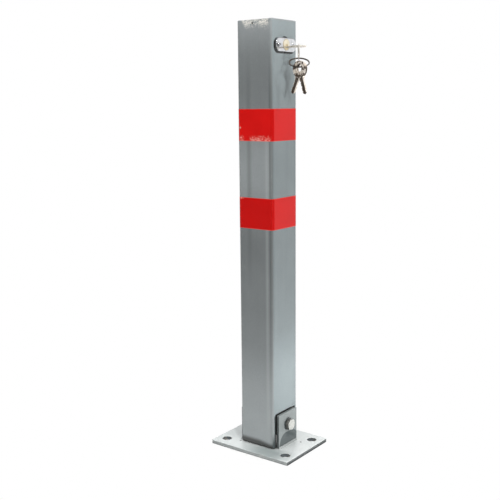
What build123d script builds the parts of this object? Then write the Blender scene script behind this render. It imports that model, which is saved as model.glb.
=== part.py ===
# Folding parking post: a square steel tube that stands on a bolted base plate.
# The tube turns about one cross bolt between two welded ears and folds flat to the rear.
# A key lock near the top drives a rod down the tube. The rod drops into a hole in the
# base plate and keeps the post upright. It is shown upright and unlocked, key in place.
# Origin: centre of the base plate's underside. +Z is up, +X leaves the lock face,
# -Y is the front and +Y is the side to which the post folds. All sizes in millimetres.

import os
from math import cos, radians, sin, sqrt

from build123d import *

# Base plate
PLATE_LENGTH = 150.0
PLATE_WIDTH = 115.0
PLATE_THICK = 6.0
PLATE_CORNER = 2.5
PLATE_EDGE = 0.7
ANCHOR_SPACING_X = 116.0
ANCHOR_SPACING_Y = 76.0
ANCHOR_HOLE = 15.0
ANCHOR_EDGE = 0.5

# Post tube, its lid and its red bands
TUBE_SIDE = 65.0
TUBE_WALL = 2.0
TUBE_CORNER = 4.5
POST_TOP = 670.0
CAP_THICK = 3.0
CAP_EDGE = 1.2
FOOT_GAP = 1.5
BAND_HEIGHT = 48.0
BAND_THICK = 0.25
BAND_DROP = 130.0
BAND_SPACING = 134.0

# Hinge: ears, cross bolt and the saddle that carries the tube
AXIS_HEIGHT = 35.0
EAR_WIDTH = 50.0
EAR_HEIGHT = 55.0
EAR_THICK = 4.0
EAR_CORNER = 1.0
EAR_GAP = 0.3
WELD_LEG = 3.0
WELD_BULGE = 0.56
NOTCH_MARGIN = 2.5
NOTCH_HEADROOM = 2.0
NOTCH_CORNER = 2.0
SWING_GAP = 0.7
SADDLE_THICK = 4.0
SADDLE_WIDTH = 48.0
SADDLE_TOP = 84.0
SADDLE_BEND = 6.0
BOLT_DIAMETER = 10.0
HEAD_FLATS = 16.0
HEAD_HEIGHT = 6.4
HEAD_CROWN = 0.95
HEAD_TURN = 15.0
NUT_HEIGHT = 8.4
BOLT_END = 3.0
BOLT_BEVEL = 1.0
WASHER_DIAMETER = 20.0
WASHER_THICK = 2.0
SLEEVE_DIAMETER = 16.0

# Fits: radial or flat clearance between pieces that move on each other
SHAFT_FIT = 0.05
FACE_FIT = 0.15
ROD_FIT = 0.3
SLOT_FIT = 0.4

# How far a cutting shape runs past the face it cuts
PAST = 1.0

# Lock: flange, barrel and plug
FLANGE_LENGTH = 52.0
FLANGE_HEIGHT = 20.0
FLANGE_THICK = 3.0
FLANGE_CORNER = 9.0
FLANGE_EDGE = 0.9
LOCK_DROP = 36.7
LOCK_HOLE = 24.0
BARREL_DIAMETER = 17.0
BARREL_LENGTH = 28.0
BARREL_PROUD = 0.6
BARREL_EDGE = 0.4
COLLAR_DIAMETER = 22.0
COLLAR_LIP = 1.0
PLUG_DIAMETER = 9.0
PLUG_DROP = 3.6
PLUG_RECESS = 0.4
SCREW_SPREAD = 38.0
SCREW_DIAMETER = 4.0
SCREW_LENGTH = 8.0
DOME_DIAMETER = 8.5
DOME_HEIGHT = 2.6
DOME_CROWN = 2.2
SINK_DIAMETER = 7.6
RECESS_ACROSS = 2.6
RECESS_DEPTH = 1.4

# Crank and locking rod
CRANK_RADIUS = 9.2
CRANK_START = 135.0
CRANK_WIDTH = 12.0
CRANK_THICK = 3.0
CRANK_GAP = 0.5
PIN_DIAMETER = 5.0
PIN_LENGTH = 7.5
ROD_DIAMETER = 10.0
ROD_OFFSET = 16.0
ROD_LIFT = 8.2
ROD_POINT = 2.0
ROD_HOLE_FIT = 0.5
YOKE_THICK = 4.0
YOKE_PRONG = 5.0
YOKE_TAB = 14.0
YOKE_NECK = 9.0
YOKE_SHANK = 13.0
CROSS_PIN = 3.0
CROSS_PIN_SUNK = 0.5
GUIDE_THICK = 3.0
GUIDE_WIDTH = 26.0
GUIDE_DROP = 41.0
CAM_SCREW_HEAD = 7.0
CAM_SCREW_THICK = 2.0
CAM_SCREW_THREAD = 4.0
CAM_SCREW_LENGTH = 9.0

# Keys, all cut from one pattern
BOW_DIAMETER = 23.5
BOW_HOLE = 10.0
BOW_HOLE_SHIFT = 1.0
BOW_EDGE = 0.3
KEY_THICK = 2.0
BLADE_WIDTH = 7.0
BLADE_LENGTH = 26.0
BLADE_POINT = 3.0
SHOULDER_WIDTH = 10.0
SHOULDER_LENGTH = 3.5
GROOVE_WIDTH = 2.2
GROOVE_DEPTH = 0.55
BIT_START = 2.0
BIT_PITCH = 3.4
BIT_DEPTHS = (1.5, 0.8, 1.9, 1.1, 1.6)
KEYWAY_FIT = 0.15
BOW_STANDOFF = 9.4

# Rings and spare keys, which hang in a frame turned about the vertical
HANG_TURN = 37.0
LINK_RADIUS = 11.0
LINK_WIRE = 1.5
LINK_HANG = 8.2
RING_RADIUS = 14.5
RING_WIRE = 1.9
RING_TILT = 62.0
RING_FIT = 0.15
BOW_YAW = 45.0
KEY_GAP = 0.6
FRONT_RISE = -2.0
REAR_RISE = -2.7
FRONT_SHIFT = -1.2
FRONT_SPLAY = -18.0
REAR_SPLAY = 25.0

# Places worked out from the sizes above
HALF = TUBE_SIDE / 2
INNER = HALF - TUBE_WALL
AXIS_Z = PLATE_THICK + AXIS_HEIGHT
TUBE_FOOT = PLATE_THICK + FOOT_GAP
TUBE_TOP = POST_TOP - CAP_THICK
EAR_IN = HALF + EAR_GAP
EAR_OUT = EAR_IN + EAR_THICK
HEAD_SEAT = EAR_OUT + WASHER_THICK
SWING_RADIUS = AXIS_HEIGHT - SWING_GAP
LEG_IN = INNER - SADDLE_THICK
LOCK_Z = POST_TOP - LOCK_DROP
PLUG_Z = LOCK_Z - PLUG_DROP
FLANGE_FACE = HALF + FLANGE_THICK
BARREL_FRONT = FLANGE_FACE + BARREL_PROUD
BARREL_BACK = BARREL_FRONT - BARREL_LENGTH
PLUG_FRONT = BARREL_FRONT - PLUG_RECESS
CRANK_FRONT = BARREL_BACK - CRANK_GAP
CRANK_BACK = CRANK_FRONT - CRANK_THICK
PIN_Y = CRANK_RADIUS * cos(radians(CRANK_START))
PIN_Z = PLUG_Z + CRANK_RADIUS * sin(radians(CRANK_START))
ROD_FOOT = PLATE_THICK + ROD_LIFT
ROD_TOP = PIN_Z - YOKE_SHANK - YOKE_PRONG - PIN_DIAMETER / 2 - SLOT_FIT
BOW_X = PLUG_FRONT + BOW_STANDOFF + BOW_DIAMETER / 2


def shaft(diameter, x0, x1, y=0.0, z=AXIS_Z):
    """Round bar along X from x0 to x1."""
    length = abs(x1 - x0)
    return Pos((x0 + x1) / 2, y, z) * Rot(0, 90, 0) * Cylinder(diameter / 2, length)


def pillar(diameter, z0, z1, x=0.0, y=0.0):
    """Round bar along Z from z0 to z1."""
    return Pos(x, y, (z0 + z1) / 2) * Cylinder(diameter / 2, z1 - z0)


def block(x0, x1, y0, y1, z0, z1):
    """Box between two corners."""
    middle = Pos((x0 + x1) / 2, (y0 + y1) / 2, (z0 + z1) / 2)
    return middle * Box(abs(x1 - x0), abs(y1 - y0), abs(z1 - z0))


def square_prism(side, corner, z0, z1):
    """Upright square bar with round corners."""
    return Pos(0, 0, z0) * extrude(RectangleRounded(side, side, corner), z1 - z0)


def disc_ring(outer, inner, x0, x1):
    """Washer or sleeve round the hinge axis."""
    return shaft(outer, x0, x1) - shaft(inner, min(x0, x1) - PAST, max(x0, x1) + PAST)


def hexagon(flats, x0, x1, turn):
    """Hexagon along X whose outer corners are bevelled at x1."""
    height = abs(x1 - x0)
    crown = HEAD_CROWN * flats / 2
    prism = extrude(RegularPolygon(flats / 2, 6, major_radius=False), height)
    bevel = Cone(crown + height * sqrt(3), crown, height, align=(Align.CENTER, Align.CENTER, Align.MIN))
    lean = 90 if x1 > x0 else -90
    return Pos(x0, 0, AXIS_Z) * Rot(turn, 0, 0) * Rot(0, lean, 0) * (prism & bevel)


def base_plate():
    plate = extrude(RectangleRounded(PLATE_LENGTH, PLATE_WIDTH, PLATE_CORNER), PLATE_THICK)
    rim = plate.faces().sort_by(Axis.Z)[-1].edges()
    plate = chamfer(rim, PLATE_EDGE)
    for x in (-ANCHOR_SPACING_X / 2, ANCHOR_SPACING_X / 2):
        for y in (-ANCHOR_SPACING_Y / 2, ANCHOR_SPACING_Y / 2):
            plate -= pillar(ANCHOR_HOLE, -PAST, PLATE_THICK + PAST, x, y)
            flare = Cone(ANCHOR_HOLE / 2, ANCHOR_HOLE / 2 + ANCHOR_EDGE, ANCHOR_EDGE)
            plate -= Pos(x, y, PLATE_THICK - ANCHOR_EDGE / 2) * flare
    return plate - pillar(ROD_DIAMETER + 2 * ROD_HOLE_FIT, -PAST, PLATE_THICK + PAST, 0, -ROD_OFFSET)


def ear(side):
    """Upright hinge ear, side +1 on the lock face and -1 on the far face."""
    half = EAR_WIDTH / 2
    top = PLATE_THICK + EAR_HEIGHT
    plate = block(side * EAR_IN, side * EAR_OUT, -half, half, PLATE_THICK, top)
    upper = plate.edges().filter_by(Axis.X).sort_by(Axis.Z)[-2:]
    plate = fillet(upper, EAR_CORNER)
    return plate - shaft(BOLT_DIAMETER + 2 * SHAFT_FIT, side * (EAR_IN - PAST), side * (EAR_OUT + PAST))


def weld(side):
    """Fillet weld along the outer foot of an ear."""
    bulge = WELD_LEG * WELD_BULGE
    foot = Line((0, 0), (WELD_LEG, 0))
    crown = ThreePointArc((WELD_LEG, 0), (bulge, bulge), (0, WELD_LEG))
    back = Line((0, WELD_LEG), (0, 0))
    section = make_face([foot, crown, back])
    bead = extrude(Plane.XZ * section, EAR_WIDTH / 2, both=True)
    if side < 0:
        bead = mirror(bead, Plane.YZ)
    return Pos(side * EAR_OUT, 0, PLATE_THICK) * bead


def hinge_bolt():
    end = -(HEAD_SEAT + NUT_HEIGHT + BOLT_END)
    shank = shaft(BOLT_DIAMETER, end, HEAD_SEAT)
    shank = chamfer(shank.edges().sort_by(Axis.X)[0], BOLT_BEVEL)
    return shank + hexagon(HEAD_FLATS, HEAD_SEAT, HEAD_SEAT + HEAD_HEIGHT, HEAD_TURN)


def hinge_nut():
    nut = hexagon(HEAD_FLATS, -HEAD_SEAT, -(HEAD_SEAT + NUT_HEIGHT), HEAD_TURN)
    return nut - shaft(BOLT_DIAMETER, -HEAD_SEAT + PAST, -(HEAD_SEAT + NUT_HEIGHT + PAST))


def bolt_washer(side):
    return disc_ring(WASHER_DIAMETER, BOLT_DIAMETER + 2 * ROD_FIT, side * EAR_OUT, side * HEAD_SEAT)


def thrust_washer(side):
    """Washer that keeps an ear off the saddle leg."""
    inner_face = side * (INNER + FACE_FIT)
    outer_face = side * (EAR_IN - FACE_FIT)
    return disc_ring(WASHER_DIAMETER, BOLT_DIAMETER + 2 * ROD_FIT, inner_face, outer_face)


def notch(side):
    """Cutter that opens the tube wall behind an ear."""
    width = EAR_WIDTH + 2 * NOTCH_MARGIN
    top = PLATE_THICK + EAR_HEIGHT + NOTCH_HEADROOM
    height = 2 * (top - TUBE_FOOT)
    outline = RectangleRounded(width, height, NOTCH_CORNER)
    cutter = extrude(Plane.YZ * outline, TUBE_WALL + NOTCH_CORNER, both=True)
    return Pos(side * (HALF - TUBE_WALL / 2), 0, TUBE_FOOT) * cutter


def swing_relief():
    """What the rear of the foot loses so that it can turn over the base plate."""
    corner = block(-TUBE_SIDE, TUBE_SIDE, 0, TUBE_SIDE, TUBE_FOOT - PAST, AXIS_Z)
    return corner - shaft(2 * SWING_RADIUS, -TUBE_SIDE - PAST, TUBE_SIDE + PAST)


def post_tube():
    tube = square_prism(TUBE_SIDE, TUBE_CORNER, TUBE_FOOT, TUBE_TOP)
    tube -= square_prism(2 * INNER, TUBE_CORNER - TUBE_WALL, TUBE_FOOT - PAST, TUBE_TOP + PAST)
    for side in (-1, 1):
        tube -= notch(side)
        tube -= shaft(SCREW_DIAMETER, INNER - PAST, HALF + PAST, side * SCREW_SPREAD / 2, LOCK_Z)
    tube -= swing_relief()
    return tube - shaft(LOCK_HOLE, INNER - PAST, HALF + PAST, 0, LOCK_Z)


def top_cap():
    cap = square_prism(TUBE_SIDE, TUBE_CORNER, TUBE_TOP, POST_TOP)
    return fillet(cap.faces().sort_by(Axis.Z)[-1].edges(), CAP_EDGE)


def red_band(number):
    """Reflective band, number 0 is the upper one."""
    top = POST_TOP - BAND_DROP - number * BAND_SPACING
    outer = TUBE_SIDE + 2 * BAND_THICK
    band = square_prism(outer, TUBE_CORNER + BAND_THICK, top - BAND_HEIGHT, top)
    return band - square_prism(TUBE_SIDE, TUBE_CORNER, top - BAND_HEIGHT - PAST, top + PAST)


def hinge_saddle():
    """Bent strip inside the tube: two legs on the bolt and a web that guides the rod."""
    low = AXIS_Z - SADDLE_WIDTH / 2
    height = SADDLE_TOP - low
    outer = Pos(0, low + height / 2) * Rectangle(2 * INNER, height)
    outer = fillet(outer.vertices().sort_by(Axis.Y)[-2:], SADDLE_BEND)
    inside = height - SADDLE_THICK
    inner = Pos(0, low + inside / 2) * Rectangle(2 * LEG_IN, inside)
    inner = fillet(inner.vertices().sort_by(Axis.Y)[-2:], SADDLE_BEND - SADDLE_THICK)
    bent = extrude(Plane.XZ * (outer - inner), SADDLE_WIDTH / 2, both=True)
    end = shaft(SADDLE_WIDTH, -INNER, INNER)
    end += block(-INNER, INNER, -SADDLE_WIDTH / 2, SADDLE_WIDTH / 2, AXIS_Z, SADDLE_TOP)
    saddle = bent & end
    saddle -= shaft(BOLT_DIAMETER + 2 * SHAFT_FIT, -INNER - PAST, INNER + PAST)
    return saddle - pillar(ROD_DIAMETER + 2 * ROD_FIT, low, SADDLE_TOP + PAST, 0, -ROD_OFFSET)


def pivot_sleeve():
    return disc_ring(SLEEVE_DIAMETER, BOLT_DIAMETER + 2 * SHAFT_FIT, -LEG_IN, LEG_IN)


def rod_guide():
    """Strip across the tube that keeps the upper end of the rod in line."""
    top = LOCK_Z - GUIDE_DROP
    low = top - GUIDE_THICK
    strip = square_prism(2 * INNER, TUBE_CORNER - TUBE_WALL, low, top)
    strip -= block(-HALF, HALF, GUIDE_WIDTH - INNER, HALF, low - PAST, top + PAST)
    return strip - pillar(ROD_DIAMETER + 2 * ROD_FIT, low - PAST, top + PAST, 0, -ROD_OFFSET)


def lock_flange():
    plate = extrude(Plane.YZ * RectangleRounded(FLANGE_LENGTH, FLANGE_HEIGHT, FLANGE_CORNER), FLANGE_THICK)
    plate = fillet(plate.faces().sort_by(Axis.X)[-1].edges(), FLANGE_EDGE)
    plate = Pos(HALF, 0, LOCK_Z) * plate
    plate -= shaft(BARREL_DIAMETER, HALF - PAST, FLANGE_FACE + PAST, 0, LOCK_Z)
    for y in (-SCREW_SPREAD / 2, SCREW_SPREAD / 2):
        plate -= shaft(SCREW_DIAMETER, HALF - PAST, FLANGE_FACE + PAST, y, LOCK_Z)
    return plate - screw_cone(SCREW_SPREAD / 2)


def lock_barrel():
    """Round lock body whose plug sits below its centre, with a collar behind the flange."""
    barrel = shaft(BARREL_DIAMETER, BARREL_BACK, BARREL_FRONT, 0, LOCK_Z)
    barrel = chamfer(barrel.edges().sort_by(Axis.X)[-1], BARREL_EDGE)
    barrel += shaft(COLLAR_DIAMETER, INNER - COLLAR_LIP, HALF, 0, LOCK_Z)
    return barrel - shaft(PLUG_DIAMETER + 2 * SHAFT_FIT, BARREL_BACK - PAST, BARREL_FRONT + PAST, 0, PLUG_Z)


def screw_cone(y):
    """Head of the countersunk screw, which also cuts its seat."""
    depth = (SINK_DIAMETER - SCREW_DIAMETER) / 2
    cone = Cone(SCREW_DIAMETER / 2, SINK_DIAMETER / 2, depth)
    return Pos(FLANGE_FACE - depth / 2, y, LOCK_Z) * Rot(0, 90, 0) * cone


def recess(x):
    """Six sided key recess in a screw head whose face is at x."""
    socket = extrude(RegularPolygon(RECESS_ACROSS / 2, 6, major_radius=False), RECESS_DEPTH + PAST)
    return Pos(x - RECESS_DEPTH, 0, LOCK_Z) * Rot(0, 90, 0) * socket


def flange_screw_front():
    """Dome headed screw on the front side of the lock."""
    y = -SCREW_SPREAD / 2
    head = shaft(DOME_DIAMETER, FLANGE_FACE, FLANGE_FACE + DOME_HEIGHT, y, LOCK_Z)
    head = fillet(head.edges().sort_by(Axis.X)[-1], DOME_CROWN)
    shank = shaft(SCREW_DIAMETER, FLANGE_FACE - SCREW_LENGTH, FLANGE_FACE + RECESS_DEPTH / 2, y, LOCK_Z)
    return head + shank - Pos(0, y, 0) * recess(FLANGE_FACE + DOME_HEIGHT)


def flange_screw_rear():
    """Countersunk screw on the rear side of the lock."""
    y = SCREW_SPREAD / 2
    shank = shaft(SCREW_DIAMETER, FLANGE_FACE - SCREW_LENGTH, FLANGE_FACE - RECESS_DEPTH / 2, y, LOCK_Z)
    return screw_cone(y) + shank - Pos(0, y, 0) * recess(FLANGE_FACE)


def lock_plug():
    """Turning core with its keyway and a threaded tail."""
    plug = shaft(PLUG_DIAMETER, CRANK_FRONT, PLUG_FRONT, 0, PLUG_Z)
    wide = BLADE_WIDTH / 2 + KEYWAY_FIT
    thick = KEY_THICK / 2 + KEYWAY_FIT
    end = BOW_X - BOW_DIAMETER / 2 - BLADE_LENGTH - KEYWAY_FIT
    plug -= block(end, PLUG_FRONT + PAST, -wide, wide, PLUG_Z - thick, PLUG_Z + thick)
    return plug - shaft(CAM_SCREW_THREAD, CRANK_FRONT - PAST, CRANK_BACK + CAM_SCREW_LENGTH, 0, PLUG_Z)


def lock_crank():
    """Arm on the tail of the plug, with the pin that lifts the rod."""
    arm = extrude(Plane.YZ * SlotCenterToCenter(CRANK_RADIUS, CRANK_WIDTH), CRANK_THICK)
    arm = Pos(CRANK_BACK, 0, PLUG_Z) * Rot(CRANK_START, 0, 0) * Pos(0, CRANK_RADIUS / 2, 0) * arm
    arm += shaft(PIN_DIAMETER, CRANK_BACK - PIN_LENGTH, CRANK_BACK, PIN_Y, PIN_Z)
    return arm - shaft(CAM_SCREW_THREAD, CRANK_BACK - PAST, CRANK_FRONT + PAST, 0, PLUG_Z)


def crank_screw():
    head = shaft(CAM_SCREW_HEAD, CRANK_BACK - CAM_SCREW_THICK, CRANK_BACK, 0, PLUG_Z)
    return head + shaft(CAM_SCREW_THREAD, CRANK_BACK, CRANK_BACK + CAM_SCREW_LENGTH, 0, PLUG_Z)


def locking_rod():
    """Round rod with a tapered point and a slit top for the yoke."""
    rod = pillar(ROD_DIAMETER, ROD_FOOT, ROD_TOP, 0, -ROD_OFFSET)
    rod = chamfer(rod.edges().filter_by(GeomType.CIRCLE).sort_by(Axis.Z)[0], ROD_POINT)
    slit = YOKE_THICK / 2
    front = -ROD_OFFSET - ROD_DIAMETER
    rear = -ROD_OFFSET + ROD_DIAMETER
    rod -= block(-slit, slit, front, rear, ROD_TOP - YOKE_TAB, ROD_TOP + PAST)
    return rod - shaft(CROSS_PIN, -ROD_DIAMETER, ROD_DIAMETER, -ROD_OFFSET, ROD_TOP - YOKE_TAB / 2)


def rod_yoke():
    """Fork on the rod, whose two prongs hold the crank pin."""
    half_slot = PIN_DIAMETER / 2 + SLOT_FIT
    left = -ROD_OFFSET - YOKE_NECK / 2
    neck = left + YOKE_NECK
    tip = PIN_Y + PIN_DIAMETER / 2 + SLOT_FIT
    throat = -CRANK_RADIUS - PIN_DIAMETER / 2 - SLOT_FIT
    low = PIN_Z - half_slot - YOKE_PRONG
    high = PIN_Z + half_slot + YOKE_PRONG
    half = YOKE_THICK / 2
    yoke = block(-half, half, left, neck, ROD_TOP - YOKE_TAB, high)
    yoke += block(-half, half, left, tip, low, high)
    yoke -= block(-half - PAST, half + PAST, throat, tip + PAST, PIN_Z - half_slot, PIN_Z + half_slot)
    return yoke - shaft(CROSS_PIN, -half - PAST, half + PAST, -ROD_OFFSET, ROD_TOP - YOKE_TAB / 2)


def cross_pin():
    half = ROD_DIAMETER / 2 - CROSS_PIN_SUNK
    return shaft(CROSS_PIN, -half, half, -ROD_OFFSET, ROD_TOP - YOKE_TAB / 2)


def key():
    """Key in the XY plane: the bow's centre at the origin and the blade along -X."""
    radius = BOW_DIAMETER / 2
    half = BLADE_WIDTH / 2
    tip = -radius - BLADE_LENGTH
    point = tip + BLADE_POINT
    blade = Polyline((0, -half), (point, -half), (tip, 0), (point, half), (0, half), close=True)
    shoulder_end = -radius - SHOULDER_LENGTH
    flat = Circle(radius) + make_face(blade)
    flat += Pos(shoulder_end / 2, 0) * Rectangle(-shoulder_end, SHOULDER_WIDTH)
    for number, depth in enumerate(BIT_DEPTHS):
        x = point + BIT_START + number * BIT_PITCH
        wide = depth + PAST
        cut = Polyline((x - wide, half + PAST), (x, half - depth), (x + wide, half + PAST), close=True)
        flat -= make_face(cut)
    flat -= Pos(BOW_HOLE_SHIFT, 0) * Circle(BOW_HOLE / 2)
    solid = extrude(flat, KEY_THICK / 2, both=True)
    groove = GROOVE_WIDTH / 2
    for side in (-1, 1):
        floor = side * (KEY_THICK / 2 - GROOVE_DEPTH)
        solid -= block(tip - PAST, shoulder_end, -groove, groove, floor, side * KEY_THICK)
    hole_rims = solid.edges().filter_by(GeomType.CIRCLE).sort_by(SortBy.RADIUS)[:2]
    return fillet(hole_rims, BOW_EDGE)


def key_in_lock():
    return Pos(BOW_X, 0, PLUG_Z) * key()


def hang_frame():
    """Frame of the hanging pieces: X along the rings' axis of swing, Z up."""
    return Pos(BOW_X, 0, PLUG_Z) * Rot(0, 0, HANG_TURN)


def rim_middle():
    """Distance from the bow's centre to the middle of the rim that the link encloses."""
    turn = radians(HANG_TURN)
    shift = BOW_HOLE_SHIFT * sin(turn)
    hole_edge = shift + sqrt((BOW_HOLE / 2) ** 2 - (BOW_HOLE_SHIFT * cos(turn)) ** 2)
    return (hole_edge + BOW_DIAMETER / 2) / 2


def key_link():
    """Small ring through the bow of the key in the lock."""
    ring = Rot(0, 90, 0) * Torus(LINK_RADIUS, LINK_WIRE / 2)
    return hang_frame() * Pos(0, -rim_middle(), -LINK_HANG) * ring


def ring_top():
    """Where the large ring hangs in the small one, in the hang frame."""
    inside = LINK_HANG + LINK_RADIUS - LINK_WIRE / 2
    return (0, -rim_middle(), -inside + RING_WIRE / 2 + RING_FIT)


def key_ring():
    """Large ring, tilted forwards as the spare keys hold it."""
    ring = Pos(0, 0, -RING_RADIUS) * Rot(90, 0, 0) * Torus(RING_RADIUS, RING_WIRE / 2)
    return hang_frame() * Pos(*ring_top()) * Rot(-RING_TILT, 0, 0) * ring


def spare_key(along, rise, splay):
    """Spare key on the large ring: its place along the wire, its height and its splay."""
    x, y, z = ring_top()
    tilt = radians(RING_TILT)
    chord = RING_RADIUS + sqrt(RING_RADIUS**2 - along**2)
    wire = Pos(x + along, y - chord * sin(tilt), z - chord * cos(tilt))
    upright = Rot(0, 0, -BOW_YAW) * Rot(0, splay, 0) * Rot(90, 0, 0) * Rot(0, 0, 90)
    return hang_frame() * wire * upright * Pos(rise - BOW_HOLE_SHIFT, 0, 0) * key()


def rear_shift():
    """Place of the rear spare key, one thickness and a gap behind the front one."""
    return FRONT_SHIFT + (KEY_THICK + KEY_GAP) / sin(radians(BOW_YAW))


def build():
    """All pieces by name."""
    return {
        "base_plate": base_plate(),
        "ear_right": ear(1),
        "ear_left": ear(-1),
        "weld_right": weld(1),
        "weld_left": weld(-1),
        "hinge_bolt": hinge_bolt(),
        "hinge_nut": hinge_nut(),
        "bolt_washer_right": bolt_washer(1),
        "bolt_washer_left": bolt_washer(-1),
        "thrust_washer_right": thrust_washer(1),
        "thrust_washer_left": thrust_washer(-1),
        "post_tube": post_tube(),
        "top_cap": top_cap(),
        "red_band_upper": red_band(0),
        "red_band_lower": red_band(1),
        "hinge_saddle": hinge_saddle(),
        "pivot_sleeve": pivot_sleeve(),
        "rod_guide": rod_guide(),
        "lock_flange": lock_flange(),
        "lock_barrel": lock_barrel(),
        "flange_screw_front": flange_screw_front(),
        "flange_screw_rear": flange_screw_rear(),
        "lock_plug": lock_plug(),
        "lock_crank": lock_crank(),
        "crank_screw": crank_screw(),
        "locking_rod": locking_rod(),
        "rod_yoke": rod_yoke(),
        "cross_pin": cross_pin(),
        "key_in_lock": key_in_lock(),
        "key_link": key_link(),
        "key_ring": key_ring(),
        "spare_key_front": spare_key(FRONT_SHIFT, FRONT_RISE, FRONT_SPLAY),
        "spare_key_rear": spare_key(rear_shift(), REAR_RISE, REAR_SPLAY),
    }


def main():
    os.makedirs("parts", exist_ok=True)
    for name, shape in build().items():
        export_step(shape, f"parts/{name}.step")
        low, high = shape.bounding_box().min, shape.bounding_box().max
        print(f"{name:20s} {low.X:8.2f} {low.Y:8.2f} {low.Z:8.2f}   {high.X:8.2f} {high.Y:8.2f} {high.Z:8.2f}")


if __name__ == "__main__":
    main()
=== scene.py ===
import math
import random

import bmesh
import bpy
from mathutils import Matrix, Vector

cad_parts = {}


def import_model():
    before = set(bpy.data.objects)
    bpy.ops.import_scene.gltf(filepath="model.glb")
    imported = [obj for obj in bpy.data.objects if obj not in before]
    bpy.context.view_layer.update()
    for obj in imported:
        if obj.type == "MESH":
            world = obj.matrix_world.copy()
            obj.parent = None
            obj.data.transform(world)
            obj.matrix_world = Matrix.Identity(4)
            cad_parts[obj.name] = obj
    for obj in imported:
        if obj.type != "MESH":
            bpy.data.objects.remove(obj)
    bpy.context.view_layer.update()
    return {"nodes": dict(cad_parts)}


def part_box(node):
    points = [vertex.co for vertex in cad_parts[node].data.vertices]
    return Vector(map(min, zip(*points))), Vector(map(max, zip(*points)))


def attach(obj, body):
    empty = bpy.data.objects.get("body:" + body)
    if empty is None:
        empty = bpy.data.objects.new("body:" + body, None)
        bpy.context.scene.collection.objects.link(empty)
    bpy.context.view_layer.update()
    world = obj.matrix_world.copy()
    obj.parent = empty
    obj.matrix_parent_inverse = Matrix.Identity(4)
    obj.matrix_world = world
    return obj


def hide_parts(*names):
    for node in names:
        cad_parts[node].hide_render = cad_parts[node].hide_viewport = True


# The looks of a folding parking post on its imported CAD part. Everything is in metres, in
# the part's own frame: +X leaves the lock face, -Y is the front, +Z is up.

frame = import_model()
NODES = frame["nodes"]

# Places and sizes repeated from the part
HALF = 0.0325
POST_TOP = 0.670
BAND_LOW = (0.492, 0.358)
BAND_HEIGHT = 0.048
PLATE_TOP = 0.006
PLATE_END = 0.075
ANCHOR_RADIUS = 0.0075
ANCHORS = [(x, y) for x in (-0.058, 0.058) for y in (-0.038, 0.038)]
EAR_OUT = 0.0368
EAR_HALF = 0.025
AXIS_Z = 0.041
BOLT_HEAD = (0.0385, 0.0440)
BOLT_END = -0.0465
THREAD_PITCH = 0.0015
LOCK_Z = 0.6333
FLANGE_STRAIGHT = (0.017, 0.001)
SCREW_FACES = ((0.0381, -0.019), (0.0355, 0.019))
# Radians per metre of the lathe rings on the barrel's face
LATHE_RINGS = 21000.0
# Each spare key's middle line, from its bow to its tip, and how far along it the blade begins
KEY_LINES = (
    ((0.07740, -0.02817, 0.59591), (0.08895, -0.02979, 0.56000)),
    ((0.07778, -0.02549, 0.59548), (0.06198, -0.02327, 0.56127)),
)
KEY_BOW = 0.0125
# Turn of the hanging key bunch about Z
HANG_TURN = math.radians(37.0)
LINK_RADIUS, LINK_WIRE = 0.011, 0.0015
RING_RADIUS, RING_WIRE = 0.0145, 0.0019
RING_TILT = math.radians(-62.0)


def srgb(r, g, b):
    """Linear colour of an 8 bit screen colour."""
    out = []
    for c in (r, g, b):
        c = c / 255.0
        out.append(c / 12.92 if c <= 0.04045 else ((c + 0.055) / 1.055) ** 2.4)
    return (*out, 1.0)


class Nodes:
    """Short calls for building a node tree."""

    def __init__(self, tree):
        self.tree = tree

    def new(self, kind, **settings):
        node = self.tree.nodes.new(kind)
        for key, value in settings.items():
            setattr(node, key, value)
        return node

    def link(self, value, socket):
        if isinstance(value, bpy.types.NodeSocket):
            self.tree.links.new(value, socket)
        else:
            socket.default_value = value

    def math(self, operation, a, b=0.0):
        node = self.new("ShaderNodeMath", operation=operation)
        self.link(a, node.inputs[0])
        self.link(b, node.inputs[1])
        return node.outputs[0]

    def product(self, *values):
        out = values[0]
        for value in values[1:]:
            out = self.math("MULTIPLY", out, value)
        return out

    def vector(self, operation, a, b=(0.0, 0.0, 0.0)):
        """Outputs of a vector operation: Vector and Value."""
        node = self.new("ShaderNodeVectorMath", operation=operation)
        self.link(a, node.inputs[0])
        self.link(b, node.inputs[1])
        return node.outputs

    def combine(self, *parts):
        node = self.new("ShaderNodeCombineXYZ")
        for part, socket in zip(parts, node.inputs):
            self.link(part, socket)
        return node.outputs[0]

    def ramp(self, value, start, end, low=0.0, high=1.0):
        """Goes smoothly from low at start to high at end."""
        node = self.new("ShaderNodeMapRange", interpolation_type="SMOOTHSTEP")
        self.link(value, node.inputs["Value"])
        flip = start > end
        node.inputs["From Min"].default_value = end if flip else start
        node.inputs["From Max"].default_value = start if flip else end
        node.inputs["To Min"].default_value = high if flip else low
        node.inputs["To Max"].default_value = low if flip else high
        return node.outputs[0]

    def band(self, value, low, high, soft):
        """1 between low and high, 0 outside, with soft ends."""
        up = self.ramp(value, low - soft, low + soft)
        down = self.ramp(value, high + soft, high - soft)
        return self.product(up, down)


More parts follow.
